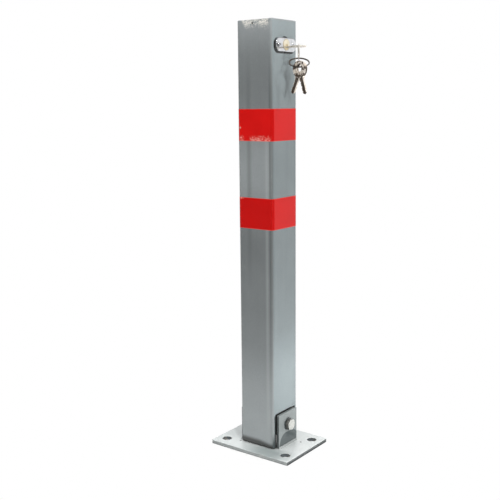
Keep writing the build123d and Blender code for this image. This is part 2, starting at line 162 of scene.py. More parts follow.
class Finish(Nodes):
    """The nodes of one material, its shader, and the place of a point at rest."""

    def __init__(self, name):
        self.mat = bpy.data.materials.new(name)
        self.mat.use_nodes = True
        super().__init__(self.mat.node_tree)
        self.shader = self.tree.nodes["Principled BSDF"]
        self.out = self.tree.nodes["Material Output"]
        self.place = self.new("ShaderNodeTexCoord").outputs["Object"]
        split = self.new("ShaderNodeSeparateXYZ")
        self.link(self.place, split.inputs[0])
        self.x, self.y, self.z = split.outputs

    def stretch(self, sx, sy, sz):
        node = self.new("ShaderNodeMapping")
        self.link(self.place, node.inputs["Vector"])
        node.inputs["Scale"].default_value = (sx, sy, sz)
        return node.outputs[0]

    def noise(self, scale, detail, rough, vector=None):
        node = self.new("ShaderNodeTexNoise")
        self.link(vector or self.place, node.inputs["Vector"])
        node.inputs["Scale"].default_value = scale
        node.inputs["Detail"].default_value = detail
        node.inputs["Roughness"].default_value = rough
        return node.outputs[0]

    def specks(self, scale, detail, rough, start, end):
        """Noise cut to 0 at start and 1 at end."""
        return self.ramp(self.noise(scale, detail, rough), start, end)

    def near(self, point, radius, soft):
        """1 within a radius of a point, 0 outside."""
        away = self.vector("DISTANCE", self.place, point)["Value"]
        return self.ramp(away, radius + soft, radius - soft)

    def front(self, start=0.0014, end=0.0004):
        """1 on the tube's front, coming in round its corners at these depths."""
        return self.ramp(self.y, start - HALF, end - HALF)

    def lock_side(self, start=0.0008, end=0.0002):
        """1 on the tube's lock face, coming in round its corners at these depths."""
        return self.ramp(self.x, HALF - start, HALF - end)

    def levels(self, value, stops):
        """Smooth grey curve along (place, level) stops, as a factor on a colour."""
        node = self.new("ShaderNodeValToRGB")
        node.color_ramp.interpolation = "B_SPLINE"
        self.link(value, node.inputs[0])
        points = node.color_ramp.elements
        while len(points) < len(stops):
            points.new(0.5)
        for point, (place, level) in zip(points, stops):
            point.position = place
            point.color = (level, level, level, 1.0)
        return node.outputs[0]

    def blend(self, factor, a, b, **settings):
        node = self.new("ShaderNodeMix", data_type="RGBA", **settings)
        self.link(factor, node.inputs[0])
        self.link(a, node.inputs[6])
        self.link(b, node.inputs[7])
        return node.outputs[2]

    def mix(self, factor, a, b):
        return self.blend(factor, a, b)

    def shade(self, colour, factor, share=1.0):
        return self.blend(share, colour, factor, blend_type="MULTIPLY")

    def stain(self, colour, other, *masks):
        """Another colour where all the masks are 1; a number among them is its strength."""
        return self.mix(self.product(*masks), colour, other)

    def bump(self, height, strength, distance, normal=None):
        node = self.new("ShaderNodeBump")
        node.inputs["Strength"].default_value = strength
        node.inputs["Distance"].default_value = distance
        self.link(height, node.inputs["Height"])
        if normal:
            self.link(normal, node.inputs["Normal"])
        return node.outputs[0]

    def round_edges(self, radius):
        node = self.new("ShaderNodeBevel", samples=6)
        node.inputs["Radius"].default_value = radius
        return node.outputs[0]

    def set(self, **values):
        for key, value in values.items():
            self.link(value, self.shader.inputs[key.replace("_", " ")])


# Painted parts
GRAIN = 560.0
GREY = srgb(133, 140, 142)
GREY_LIGHT = srgb(142, 149, 151)
GREY_DARK = srgb(124, 130, 131)
TUBE_GREY = srgb(172, 178, 180)
TUBE_LIGHT = srgb(180, 186, 188)
DUST = srgb(190, 188, 182)
RUBBED = srgb(232, 228, 220)
# Painted light: a bluish tint, as of the light on the tube's lock side
LOCK_SIDE_PAINTED_TINT = (0.92, 1.0, 1.02, 1.0)
# Two dark spots on the plate's top; the one at the tube's front-left corner is a painted shadow
PLATE_DARK_SPOTS = ((0.0492, 0.0190), (-0.0338, -0.0330))

# Painted light and shade: level of the tube's colour at shares of its height
FRONT_PAINTED_LIGHT = (
    (0.0, 0.78), (0.08, 0.78), (0.17, 0.67), (0.25, 0.50), (0.34, 0.39), (0.45, 0.38), (0.52, 0.32),
    (0.60, 0.51), (0.66, 0.60), (0.72, 0.58), (0.80, 0.37), (0.92, 0.36), (1.0, 0.68),
)
SIDE_PAINTED_LIGHT = (
    (0.0, 0.68), (0.09, 0.74), (0.13, 0.78), (0.22, 0.78), (0.30, 0.50), (0.45, 0.39), (0.72, 0.36),
    (0.88, 0.42), (1.0, 0.61),
)


def paint(name, base, light, dark):
    """Grey paint with soft clouds, faint streaks along the tube, dust and a fine grain."""
    n = Finish(name)
    colour = n.mix(n.specks(9.0, 3.0, 0.55, 0.35, 0.65), base, light)
    streaks = n.noise(1.0, 3.0, 0.5, n.stretch(70.0, 70.0, 1.6))
    colour = n.stain(colour, dark, n.ramp(streaks, 0.5, 0.8), 0.10)
    colour = n.stain(colour, DUST, n.specks(900.0, 2.0, 0.6, 0.66, 0.78), 0.08)
    return n, n.shade(colour, n.ramp(n.noise(GRAIN, 3.0, 0.6), 0.35, 0.65, 0.94, 1.0))


def peel(n, colour, rough=0.26):
    """Finish of a painted surface: orange peel, rounded edges and a clear coat."""
    edges = n.round_edges(0.0007)
    skin = n.bump(n.noise(420.0, 2.0, 0.5), 0.05, 0.0004, edges)
    waves = n.bump(n.noise(11.0, 1.0, 0.5), 0.12, 0.0012, skin)
    n.set(Base_Color=colour, Roughness=rough, Normal=waves)
    n.set(Coat_Weight=0.35, Coat_Roughness=0.10, Specular_IOR_Level=0.35)
    return n.mat


def tube_zones(n, colour):
    """Pale and dark zones, streaks and a dark corner line.

    In the photograph they are mostly soft reflections, and here they are part of the paint.
    """
    front = n.front()
    height = n.math("DIVIDE", n.z, POST_TOP)
    level = n.mix(front, n.levels(height, SIDE_PAINTED_LIGHT), n.levels(height, FRONT_PAINTED_LIGHT))
    colour = n.shade(colour, level)
    # Painted light: a bluish tint on the lock side
    colour = n.shade(colour, LOCK_SIDE_PAINTED_TINT, n.lock_side(0.0014))
    # Painted reflections: a dark and a pale streak down the front
    deep = n.product(n.band(n.x, -0.0150, -0.0080, 0.0036), n.band(n.z, 0.30, 0.60, 0.06))
    colour = n.stain(colour, srgb(84, 89, 87), front, deep, 0.36)
    pale = n.product(n.band(n.x, 0.0195, 0.0235, 0.0030), n.band(n.z, 0.02, 0.50, 0.08))
    colour = n.stain(colour, srgb(176, 182, 182), front, pale, 0.26)
    # Painted shade: a dark line beside the front corner, below the lock
    corner_shade = n.product(n.band(n.x, 0.0262, 0.0316, 0.0012), n.ramp(n.y, -0.0290, -0.0312))
    height = n.product(n.ramp(n.z, 0.64, 0.54), n.ramp(n.z, 0.10, 0.34, 0.25, 1.0))
    return n.stain(colour, srgb(80, 84, 84), corner_shade, height, 0.60)


def rubbed_top(n, colour):
    """Rubbed, dusty patch under the top edge of the front, with one chip."""
    front = n.front()
    fade = n.ramp(n.z, POST_TOP - 0.020, POST_TOP - 0.001)
    below = n.math("SUBTRACT", POST_TOP, n.z)
    lean = n.math("ADD", n.math("MULTIPLY", below, 0.55), -0.024)
    left = n.ramp(n.math("SUBTRACT", n.x, lean), -0.002, 0.004)
    right = n.ramp(n.x, 0.030, 0.024)
    thick = n.math("MAXIMUM", n.band(n.x, -0.020, -0.004, 0.004), n.band(n.x, 0.010, 0.025, 0.003))
    thick = n.product(n.math("ADD", thick, 0.9), fade, 0.085)
    grain = n.math("ADD", n.noise(GRAIN, 5.0, 0.72), thick)
    colour = n.stain(colour, RUBBED, front, left, right, fade, n.ramp(grain, 0.55, 0.66), 0.95)
    chip = n.near((-0.003, -HALF, POST_TOP - 0.0055), 0.0017, 0.0005)
    return n.stain(colour, srgb(62, 58, 54), front, chip, 0.8)


def foot_shade(n, colour):
    """Painted shade low on the front and round its corner, a painted shadow in the gap at the left
    corner, and a painted shadow line along the foot.
    """
    shade_top = n.math("ADD", 0.0185, n.math("MULTIPLY", n.ramp(n.x, 0.000, 0.030), -0.003))
    low = n.ramp(n.math("SUBTRACT", n.z, shade_top), 0.0020, -0.0060)
    colour = n.stain(colour, srgb(56, 54, 52), n.front(), low, 0.88)
    corner_shade = n.product(n.ramp(n.y, -0.0215, -0.0245), n.ramp(n.x, 0.0275, 0.0315))
    colour = n.stain(colour, srgb(50, 58, 60), corner_shade, n.ramp(n.z, 0.0360, 0.0130), 0.88)
    gap_shadow = n.near((0.001 - HALF, 0.001 - HALF, 0.0085), 0.0030, 0.0006)
    colour = n.stain(colour, srgb(12, 12, 12), gap_shadow)
    return n.stain(colour, srgb(38, 34, 32), n.ramp(n.z, 0.0092, 0.0082), 0.85)


def rim_distance(n, y, z):
    """Distance from the straight middle of the lock's rounded plate, in its plane."""
    half_y, half_z = FLANGE_STRAIGHT
    fy = n.math("SUBTRACT", n.math("ABSOLUTE", n.math("ADD", y, 0.0003)), half_y)
    fz = n.math("SUBTRACT", n.math("ABSOLUTE", n.math("SUBTRACT", z, LOCK_Z - 0.0005)), half_z)
    fy = n.math("MAXIMUM", fy, 0.0)
    fz = n.math("MAXIMUM", fz, 0.0)
    return n.math("SQRT", n.math("ADD", n.math("MULTIPLY", fy, fy), n.math("MULTIPLY", fz, fz)))


def lock_joint_shade(n, colour):
    """Painted shade in the joint round the lock's plate and at its round hole."""
    rim = rim_distance(n, n.math("ADD", n.y, 0.0010), n.math("ADD", n.z, 0.0010))
    hole = n.near((HALF, 0.0010, LOCK_Z), 0.0122, 0.0003)
    joint_shade = n.math("MAXIMUM", hole, n.ramp(rim, 0.0108, 0.0098))
    return n.stain(colour, srgb(24, 23, 22), n.lock_side(), joint_shade, 0.95)


def ear_gap_shade(n, colour):
    """Painted shade on the tube beside and above each ear, in the gaps round it."""
    beside = n.product(n.band(n.y, -0.0305, -0.0238, 0.0005), n.ramp(n.z, 0.0625, 0.0605), 0.9)
    above = n.product(n.band(n.y, -0.0285, 0.0150, 0.0012), n.band(n.z, 0.055, 0.0640, 0.0005), 0.85)
    sides = n.ramp(n.math("ABSOLUTE", n.x), HALF - 0.0008, HALF - 0.0002)
    return n.stain(colour, srgb(30, 32, 33), n.math("MAXIMUM", beside, above), sides)


def tube_paint():
    n, colour = paint("post_paint", TUBE_GREY, TUBE_LIGHT, GREY_DARK)
    for part in (tube_zones, rubbed_top, foot_shade, lock_joint_shade, ear_gap_shade):
        colour = part(n, colour)
    scratch = n.noise(1.0, 2.0, 0.5, n.stretch(1400.0, 1400.0, 60.0))
    return peel(n, n.stain(colour, srgb(185, 188, 186), n.ramp(scratch, 0.72, 0.78), 0.25))


def cap_paint():
    n, colour = paint("cap_paint", GREY, GREY_LIGHT, GREY_DARK)
    grain = n.specks(GRAIN, 5.0, 0.72, 0.42, 0.56)
    return peel(n, n.stain(colour, RUBBED, n.front(), n.band(n.x, -0.022, 0.027, 0.003), grain, 0.8))


def plate_edges(n, colour, rough, side):
    """The cut edges are darker, most of all at the right end, and patchily darker along their lower
    corner; a painted shadow line runs along the foot of the right end.
    """
    right_end = n.ramp(n.x, PLATE_END - 0.0012, PLATE_END - 0.0005)
    low = n.product(n.ramp(n.z, 0.0022, 0.0008), n.ramp(rough, 0.25, 0.50))
    colour = n.stain(colour, srgb(84, 86, 88), low, 0.85)
    colour = n.stain(colour, srgb(128, 132, 132), side, 0.8)
    colour = n.stain(colour, srgb(96, 100, 101), side, right_end, 0.8)
    # Painted shadow along the foot of the right end
    return n.stain(colour, srgb(44, 48, 52), right_end, n.ramp(n.z, 0.0022, 0.0012), 0.9)


def plate_top(n, colour, top):
    """Painted light on the right of the top and a painted dark reflection at its front right, weld
    spatter beside the ears, two dark spots, and painted shade on the plate under the tube.
    """
    # Painted light on the right of the top, and a painted dark reflection at its front right
    painted_light = n.product(n.ramp(n.x, 0.010, 0.060), n.ramp(n.z, 0.0054, 0.0058))
    colour = n.stain(colour, srgb(232, 236, 236), painted_light, 0.75)
    painted_reflection = n.product(n.ramp(n.y, -0.015, -0.040), n.band(n.x, 0.0, 0.060, 0.022))
    colour = n.stain(colour, srgb(158, 168, 168), painted_reflection, 0.9, top)
    beside = n.band(n.math("ABSOLUTE", n.x), 0.0390, 0.0500, 0.0030)
    spatter = n.product(beside, n.band(n.y, -0.028, 0.030, 0.003), n.specks(300.0, 4.0, 0.6, 0.50, 0.60))
    colour = n.stain(colour, srgb(238, 241, 241), spatter, 0.6, top)
    # Dark spots; the one at the tube's front-left corner is a painted shadow
    for dark_spot in PLATE_DARK_SPOTS:
        colour = n.stain(colour, srgb(22, 22, 22), n.near((*dark_spot, PLATE_TOP), 0.0016, 0.0006))
    # Painted shade on the plate under the tube
    shade_under_tube = n.product(n.near((0.0, 0.0, PLATE_TOP), 0.022, 0.008), n.ramp(n.z, 0.0050, 0.0056))
    return n.stain(colour, srgb(58, 56, 52), shade_under_tube, 0.85)


def anchor_holes(n, colour, rough):
    """Painted shade on the hole walls, and a worn, dirty ring round each hole."""
    flat = n.combine(n.x, n.y, 0.0)
    worn = n.ramp(rough, 0.48, 0.64)
    for x, y in ANCHORS:
        away = n.vector("DISTANCE", flat, (x, y, 0.0))["Value"]
        # Painted shade on the hole's wall
        wall = n.ramp(away, ANCHOR_RADIUS + 0.00022, ANCHOR_RADIUS + 0.00002)
        colour = n.stain(colour, srgb(82, 88, 92), wall, 0.97)
        colour = n.stain(colour, srgb(138, 128, 114), n.ramp(away, 0.0108, 0.0082), worn, 0.55)
    return colour


def plate_paint():
    n, colour = paint("plate_paint", srgb(212, 218, 218), srgb(220, 225, 225), srgb(180, 186, 186))
    rough = n.noise(160.0, 5.0, 0.65)
    side = n.ramp(n.z, 0.0056, 0.0050)
    colour = plate_edges(n, colour, rough, side)
    colour = plate_top(n, colour, n.math("SUBTRACT", 1.0, side))
    colour = anchor_holes(n, colour, rough)
    scuff = n.product(n.specks(46.0, 6.0, 0.7, 0.58, 0.66), n.ramp(rough, 0.45, 0.6))
    return peel(n, n.stain(colour, srgb(196, 194, 186), scuff, 0.30), 0.30)


def ear_paint():
    """Grey paint with a painted dark patch of shade and reflection below the bolt on the lock side, and
    painted shade on each ear's front edge.
    """
    n, colour = paint("ear_paint", srgb(142, 149, 150), srgb(150, 156, 157), GREY_DARK)
    low = n.product(n.ramp(n.z, 0.012, 0.007), n.specks(180.0, 4.0, 0.6, 0.40, 0.60))
    colour = n.stain(colour, srgb(112, 100, 86), low, 0.4)
    # Painted shade and reflection: a dark patch below the bolt on the lock-side ear
    lift = n.math("DIVIDE", n.math("SUBTRACT", n.z, PLATE_TOP), 0.0222)
    across = n.math("MAXIMUM", n.math("DIVIDE", n.y, 0.030), n.math("DIVIDE", n.y, -0.0232))
    reach = n.math("ADD", n.math("MULTIPLY", lift, lift), n.math("POWER", across, 2.8))
    shade_and_reflection = n.product(n.ramp(n.x, 0.030, 0.034), n.ramp(reach, 1.08, 0.94))
    colour = n.stain(colour, srgb(62, 71, 73), shade_and_reflection, 0.80)
    # Painted shade on each ear's front edge
    edge = n.ramp(n.y, 0.0004 - EAR_HALF, 0.0001 - EAR_HALF)
    return peel(n, n.stain(colour, srgb(52, 56, 58), edge, 0.8))


def weld_paint():
    n, colour = paint("weld_paint", srgb(160, 165, 165), srgb(174, 178, 178), GREY_DARK)
    return peel(n, n.stain(colour, srgb(70, 58, 46), n.specks(420.0, 3.0, 0.6, 0.40, 0.28), 0.7), 0.34)


def tape_wear(n, colour, front, lower_band):
    """Worn specks on the upper band's lower edge and the lower band's upper left, and a spot."""
    edge = n.ramp(n.z, BAND_LOW[0] + 0.0110, BAND_LOW[0] + 0.0010)
    upper_band = n.ramp(n.z, BAND_LOW[0] - 0.002, BAND_LOW[0] - 0.001)
    places = n.math("MAXIMUM", n.band(n.x, -0.0300, -0.0210, 0.002), n.band(n.x, -0.008, 0.029, 0.004))
    noise = n.noise(620.0, 4.0, 0.65)
    specks = n.ramp(n.math("ADD", noise, n.math("MULTIPLY", edge, 0.10)), 0.59, 0.66)
    worn = n.product(front, upper_band, n.ramp(edge, 0.0, 0.25), places, specks)
    left = n.product(front, n.ramp(n.z, 0.4025, 0.4050), lower_band, n.ramp(n.x, -0.020, -0.027))
    worn = n.math("MAXIMUM", worn, n.math("MULTIPLY", left, n.ramp(noise, 0.50, 0.56)))
    colour = n.stain(colour, srgb(232, 170, 158), worn, 0.85)
    spot = n.near((-0.0276, -HALF, 0.512), 0.0016, 0.0006)
    return n.stain(colour, srgb(206, 160, 146), front, spot, 0.8)


def red_tape():
    """Glossy red reflective tape: fine cells under a clear skin, worn, with pale rims, and painted shade
    on the lower band's front, on the lock side and at the front corner.
    """
    n = Finish("red_tape")
    front = n.front(0.0012, 0.0002)
    lower_band = n.ramp(n.z, 0.45, 0.44)
    colour = n.mix(n.specks(16.0, 3.0, 0.6, 0.3, 0.7), srgb(192, 7, 5), srgb(202, 12, 9))
    # Painted shade: the lower band is darker on the front
    colour = n.stain(colour, srgb(178, 3, 2), lower_band, front, 0.8)
    cells = n.new("ShaderNodeTexVoronoi", feature="DISTANCE_TO_EDGE")
    n.link(n.place, cells.inputs["Vector"])
    cells.inputs["Scale"].default_value = 900.0
    walls = n.ramp(cells.outputs["Distance"], 0.06, 0.02)
    colour = n.stain(colour, srgb(226, 58, 50), walls, 0.10)
    colour = tape_wear(n, colour, front, lower_band)
    for low in BAND_LOW:
        for rim in (low, low + BAND_HEIGHT):
            line = n.band(n.z, rim - 0.0006, rim + 0.0006, 0.0003)
            colour = n.stain(colour, srgb(226, 120, 112), line, 0.45)
    # Painted shade on the lock side
    colour = n.stain(colour, srgb(168, 10, 8), n.lock_side(0.0012), 0.5)
    # Painted shade at the rounded front corner
    corner_shade = n.product(n.ramp(n.x, 0.0282, 0.0300), n.ramp(n.y, -0.0282, -0.0300))
    colour = n.stain(colour, srgb(140, 5, 4), corner_shade, 0.55)
    skin = n.bump(n.noise(70.0, 3.0, 0.5), 0.12, 0.0005)
    n.set(Base_Color=colour, Roughness=0.34, Normal=skin)
    n.set(Coat_Weight=0.12, Coat_Roughness=0.08, Specular_IOR_Level=0.22)
    return n.mat


def mottled(n, base, deep, scale, detail=4.0, end=0.7):
    """Soft clouds of a deeper tone on a metal."""
    return n.mix(n.specks(scale, detail, 0.6, 0.35, end), base, deep)


def metal(
    name, base, deep, rough, grain,
    brush=(1.0, 1.0, 1.0), scale=900.0, stain=None, amount=0.0, shine=1.0,
):
    """Bare or plated metal with a brushed grain and stains in its pits."""
    n = Finish(name)
    fine = n.noise(1.0, 3.0, 0.6, n.stretch(*(scale * share for share in brush)))
    colour = mottled(n, base, deep, 120.0)
    if stain:
        colour = n.stain(colour, stain, n.specks(170.0, 5.0, 0.65, 0.52, 0.60), amount)
    normal = n.bump(fine, 0.10 * grain, 0.0002, n.round_edges(0.00025))
    spread = n.ramp(fine, 0.3, 0.7, rough, rough + 0.14)
    n.set(Base_Color=colour, Roughness=spread, Metallic=shine, Normal=normal)
    return n.mat


def bolt_metal():
    """Bright zinc with a rolled thread on the end that stands out of the nut."""
    n = Finish("bolt_zinc")
    colour = mottled(n, srgb(240, 241, 237), srgb(212, 212, 207), 150.0)
    angle = n.math("ARCTAN2", n.math("SUBTRACT", n.z, AXIS_Z), n.y)
    turns = n.math("DIVIDE", angle, 2 * math.pi)
    phase = n.math("ADD", n.math("DIVIDE", n.x, THREAD_PITCH), turns)
    wave = n.math("PINGPONG", phase, 0.5)
    on_end = n.ramp(n.x, BOLT_END, BOLT_END - 0.0010)
    # Painted shade on the sides of the bolt's head
    colour = n.stain(colour, srgb(52, 52, 48), n.band(n.x, *BOLT_HEAD, 0.0002), 0.85)
    colour = n.stain(colour, srgb(88, 84, 78), n.ramp(wave, 0.20, 0.05), on_end, 0.6)
    cut = n.bump(n.math("MULTIPLY", wave, on_end), 1.0, 0.0012, n.round_edges(0.0003))
    rough = n.ramp(n.noise(120.0, 3.0, 0.6), 0.3, 0.7, 0.30, 0.40)
    n.set(Base_Color=colour, Roughness=rough, Metallic=0.45, Normal=cut)
    return n.mat


def flange_metal():
    """Polished plate of the lock, with painted shade along its rim and in the screw recesses."""
    n = Finish("polished_chrome")
    colour = mottled(n, srgb(224, 225, 228), srgb(206, 208, 211), 120.0)
    # Painted shade along the plate's rim
    rim = n.band(rim_distance(n, n.y, n.z), 0.0084, 0.0120, 0.0002)
    colour = n.stain(colour, srgb(120, 122, 124), rim, 0.65)
    # Painted shade in the screw recesses
    for face, y in SCREW_FACES:
        colour = n.stain(colour, srgb(44, 42, 40), n.near((face, y, LOCK_Z), 0.0014, 0.0002), 0.9)
    n.set(Base_Color=colour, Roughness=0.16, Metallic=0.9, Normal=n.round_edges(0.00025))
    return n.mat


def key_blade(n, start, end):
    """Masks of the blade round a line that begins in the key's bow, and of its middle strip."""
    axis = (Vector(end) - Vector(start)).normalized()
    from_start = n.vector("SUBTRACT", n.place, start)["Vector"]
    along = n.vector("DOT_PRODUCT", from_start, axis)["Value"]
    aside = n.vector("CROSS_PRODUCT", from_start, axis)["Vector"]
    off = n.vector("LENGTH", aside)["Value"]
    past_bow = n.ramp(along, KEY_BOW - 0.001, KEY_BOW + 0.001)
    return n.product(past_bow, n.ramp(off, 0.0090, 0.0080)), n.ramp(off, 0.0031, 0.0025)


def key_metal():
    """Nickel plate worn through to brown brass in the middle of the blade and on the bow."""
    n = Finish("key_metal")
    fine = n.noise(1.0, 3.0, 0.6, n.stretch(1200.0, 1200.0, 90.0))
    colour = mottled(n, srgb(250, 242, 232), srgb(226, 212, 196), 90.0, 3.0, 0.65)
    bare = n.product(n.specks(170.0, 3.0, 0.55, 0.485, 0.515), 0.9)
    for start, end in KEY_LINES:
        blade, strip = key_blade(n, start, end)
        bare = n.mix(blade, bare, n.product(strip, 0.92))
    colour = n.stain(colour, srgb(58, 40, 28), bare)
    normal = n.bump(fine, 0.08, 0.0002, n.round_edges(0.0003))
    n.set(Base_Color=colour, Roughness=n.ramp(fine, 0.3, 0.7, 0.20, 0.36), Metallic=0.62, Normal=normal)
    return n.mat


def barrel_metal():
    """Turned brass face with fine lathe rings round the lock's centre, and painted shade on the collar
    inside the tube's hole.
    """
    n = Finish("barrel_brass")
    away = n.vector("DISTANCE", n.combine(0.0, n.y, n.z), (0.0, 0.0, LOCK_Z))["Value"]
    rings = n.math("SINE", n.math("MULTIPLY", away, LATHE_RINGS))
    # Painted shade on the collar inside the tube's hole
    collar_shade = n.ramp(n.x, 0.0336, 0.0330)
    colour = mottled(n, srgb(246, 238, 218), srgb(234, 224, 200), 200.0, end=0.65)
    colour = n.stain(colour, srgb(140, 124, 92), n.band(away, 0.0074, 0.0090, 0.0003), 0.5)
    colour = n.stain(colour, srgb(30, 27, 24), collar_shade)
    normal = n.bump(rings, 0.06, 0.0001, n.round_edges(0.0003))
    metallic = n.product(n.math("SUBTRACT", 1.0, collar_shade), 0.7)
    n.set(Base_Color=colour, Roughness=0.34, Metallic=metallic, Normal=normal)
    return n.mat


POST_PAINT = tube_paint()
CAP_PAINT = cap_paint()
PLATE_PAINT = plate_paint()
EAR_PAINT = ear_paint()
WELD_PAINT = weld_paint()
RED = red_tape()
ZINC = bolt_metal()
WASHER = metal("washer_zinc", srgb(138, 142, 144), srgb(118, 121, 122), 0.34, 0.6)
CHROME = flange_metal()
STEEL = metal(
    "drawn_steel", srgb(168, 167, 163), srgb(140, 138, 133), 0.28, 0.8,
    brush=(1.0, 1.0, 0.03), scale=1500.0, stain=srgb(98, 78, 60), amount=0.4,
)
PIVOT = metal(
    "pivot_steel", srgb(158, 157, 154), srgb(126, 124, 120), 0.30, 0.7,
    stain=srgb(92, 72, 54), amount=0.35,
)
BARREL = barrel_metal()
PLUG = metal("plug_brass", srgb(240, 226, 190), srgb(220, 200, 158), 0.22, 0.4)
KEY = key_metal()
KEY_NEW = metal("key_nickel", srgb(248, 242, 230), srgb(226, 216, 200), 0.22, 0.6, shine=0.6)
RING = metal(
    "ring_steel", srgb(120, 113, 106), srgb(88, 81, 74), 0.26, 0.6,
    stain=srgb(70, 56, 44), amount=0.5,
)
LINK = metal("link_steel", srgb(232, 227, 220), srgb(196, 190, 182), 0.26, 0.6, shine=0.5)

# Materials of the carried-over solids
DRESS = {
    POST_PAINT: ("post_tube",),
    CAP_PAINT: ("top_cap",),
    PLATE_PAINT: ("base_plate",),
    EAR_PAINT: ("ear_right", "ear_left"),
    RED: ("red_band_upper", "red_band_lower"),
    ZINC: ("hinge_bolt", "hinge_nut"),
    WASHER: ("bolt_washer_right", "bolt_washer_left", "thrust_washer_right", "thrust_washer_left"),
    CHROME: ("lock_flange", "flange_screw_front", "flange_screw_rear"),
    STEEL: ("locking_rod",),
    PIVOT: (
        "hinge_saddle", "pivot_sleeve", "rod_guide", "rod_yoke", "cross_pin", "lock_crank", "crank_screw",
    ),
    BARREL: ("lock_barrel",),
    PLUG: ("lock_plug",),
    KEY_NEW: ("key_in_lock",),
    KEY: ("spare_key_front", "spare_key_rear"),
}
for material, names in DRESS.items():
    for name in names:
        mesh = NODES[name].data
        mesh.materials.clear()
        mesh.materials.append(material)


def mesh_object(name, verts, faces, material, smooth=True):
    mesh = bpy.data.meshes.new(name)
    mesh.from_pydata([tuple(v) for v in verts], [], faces)
    mesh.validate()
    if smooth:
        mesh.polygons.foreach_set("use_smooth", [True] * len(mesh.polygons))
    mesh.materials.append(material)
    piece = bpy.data.objects.new(name, mesh)
    bpy.context.collection.objects.link(piece)
    return piece


def swept(name, sections, material):
    """Closed piece with a skin over sections of as many points each, its faces turned outwards."""
    count = len(sections[0])
    last = (len(sections) - 1) * count
    faces = []
    for start in range(0, last, count):
        for k in range(count):
            a, b = start + k, start + (k + 1) % count
            faces.append((a, b, b + count, a + count))
    faces.append(tuple(range(count)))
    faces.append(tuple(range(last, last + count)))
    piece = mesh_object(name, [point for section in sections for point in section], faces, material)
    bm = bmesh.new()
    bm.from_mesh(piece.data)
    bmesh.ops.recalc_face_normals(bm, faces=bm.faces)
    bm.to_mesh(piece.data)
    bm.free()
    return piece


def wobble(rng, count, size, smooth=3):
    """Smooth random walk of a hand-laid bead."""
    values = [rng.uniform(-size, size) for _ in range(count)]
    for _ in range(smooth):
        values = [(values[i - 1] + 2 * values[i] + values[(i + 1) % count]) / 4 for i in range(count)]
    return values


WELD_STEPS = 84
WELD_ARC = 11
WELD_LEG, WELD_RISE = 0.0027, 0.0025
WELD_DRIFT = 0.0016
WELD_END = 0.05
WELD_RIPPLES, WELD_RIPPLE = 17, 0.00028
WELD_BACK, WELD_UNDER = -0.0002, -0.0001


def weld_bead(name, side, seed):
    """Hand-laid fillet weld along the outer foot of an ear, with ripples and lumps."""
    drift = wobble(random.Random(seed), WELD_STEPS + 1, WELD_DRIFT)
    sections = []
    for i in range(WELD_STEPS + 1):
        t = i / WELD_STEPS
        y = -EAR_HALF + 2 * EAR_HALF * t
        end = min(1.0, min(t, 1 - t) / WELD_END)
        swell = 0.55 + 0.45 * math.sqrt(end)
        ripple = WELD_RIPPLE * math.sin(2 * math.pi * WELD_RIPPLES * t + 0.8 * math.sin(9 * t))
        leg = (WELD_LEG + drift[i] * 0.45 + ripple) * swell
        rise = (WELD_RISE - drift[i] * 0.35 + ripple) * swell
        outline = []
        for k in range(WELD_ARC):
            a = math.pi / 2 * k / (WELD_ARC - 1)
            bulge = 0.66 + 0.10 * math.sin(2 * a)
            mix = 1 - (1 - bulge) * math.sin(2 * a)
            outline.append((leg * math.cos(a) * mix, rise * math.sin(a) * mix))
        outline += [(WELD_BACK, rise * 0.98), (WELD_BACK, WELD_UNDER), (leg * 0.98, WELD_UNDER)]
        sections.append([(side * (EAR_OUT + dx), y, PLATE_TOP + dz) for dx, dz in outline])
    return swept(name, sections, WELD_PAINT)


WIRE_SIDES = 12
WIRE_ROUND = 0.7
WIRE_WIDE, WIRE_TALL = 0.50, 0.92
WIRE_STEP = 1.02
SIDESTEP_RATE = 3.2
WIRE_TAPER = 0.012


def split_ring(name, node, material, radius, wire, tilt, start, steps, turns, end_size, along_x):
    """Split ring: two turns of round-edged wire side by side, open at both ends.

    Its axis is X or Y before the tilt about X and the turn of the hanging bunch.
    """
    wide, tall = wire * WIRE_WIDE, wire * WIRE_TALL
    outline = []
    for k in range(WIRE_SIDES):
        a = 2 * math.pi * k / WIRE_SIDES
        c, s = math.cos(a), math.sin(a)
        across = abs(c) ** WIRE_ROUND * math.copysign(wide / 2, c)
        outline.append((across, abs(s) ** WIRE_ROUND * math.copysign(tall / 2, s)))
    place = Matrix.Translation(middle(node))
    place = place @ Matrix.Rotation(HANG_TURN, 4, "Z") @ Matrix.Rotation(tilt, 4, "X")
    sections = []
    for i in range(steps + 1):
        t = i / steps
        angle = start + 2 * math.pi * turns * t
        shift = max(-0.5, min(0.5, (t - 0.5) * turns * SIDESTEP_RATE)) * wide * WIRE_STEP
        taper = end_size + (1 - end_size) * min(1.0, min(t, 1 - t) / WIRE_TAPER)
        section = []
        for du, dv in outline:
            u, r = shift + du * taper, radius + dv * taper
            a, b = r * math.sin(angle), r * math.cos(angle)
            section.append(place @ Vector((u, a, b) if along_x else (a, u, b)))
        sections.append(section)
    return swept(name, sections, material)


def middle(node):
    low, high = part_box(node)
    return (Vector(low) + Vector(high)) / 2


bead_right = weld_bead("weld_bead_right", side=1, seed=4)
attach(bead_right, "base")
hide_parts("weld_right")
bead_left = weld_bead("weld_bead_left", side=-1, seed=11)
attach(bead_left, "base")
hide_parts("weld_left")

link = split_ring(
    "split_link", "key_link", LINK, LINK_RADIUS, LINK_WIRE, tilt=0.0,
    start=0.4, steps=150, turns=1.94, end_size=0.8, along_x=True,
)
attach(link, "link")
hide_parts("key_link")

ring = split_ring(
    "split_ring", "key_ring", RING, RING_RADIUS, RING_WIRE, tilt=RING_TILT,
    start=2.2, steps=200, turns=1.95, end_size=1.0, along_x=False,
)
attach(ring, "ring")
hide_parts("key_ring")


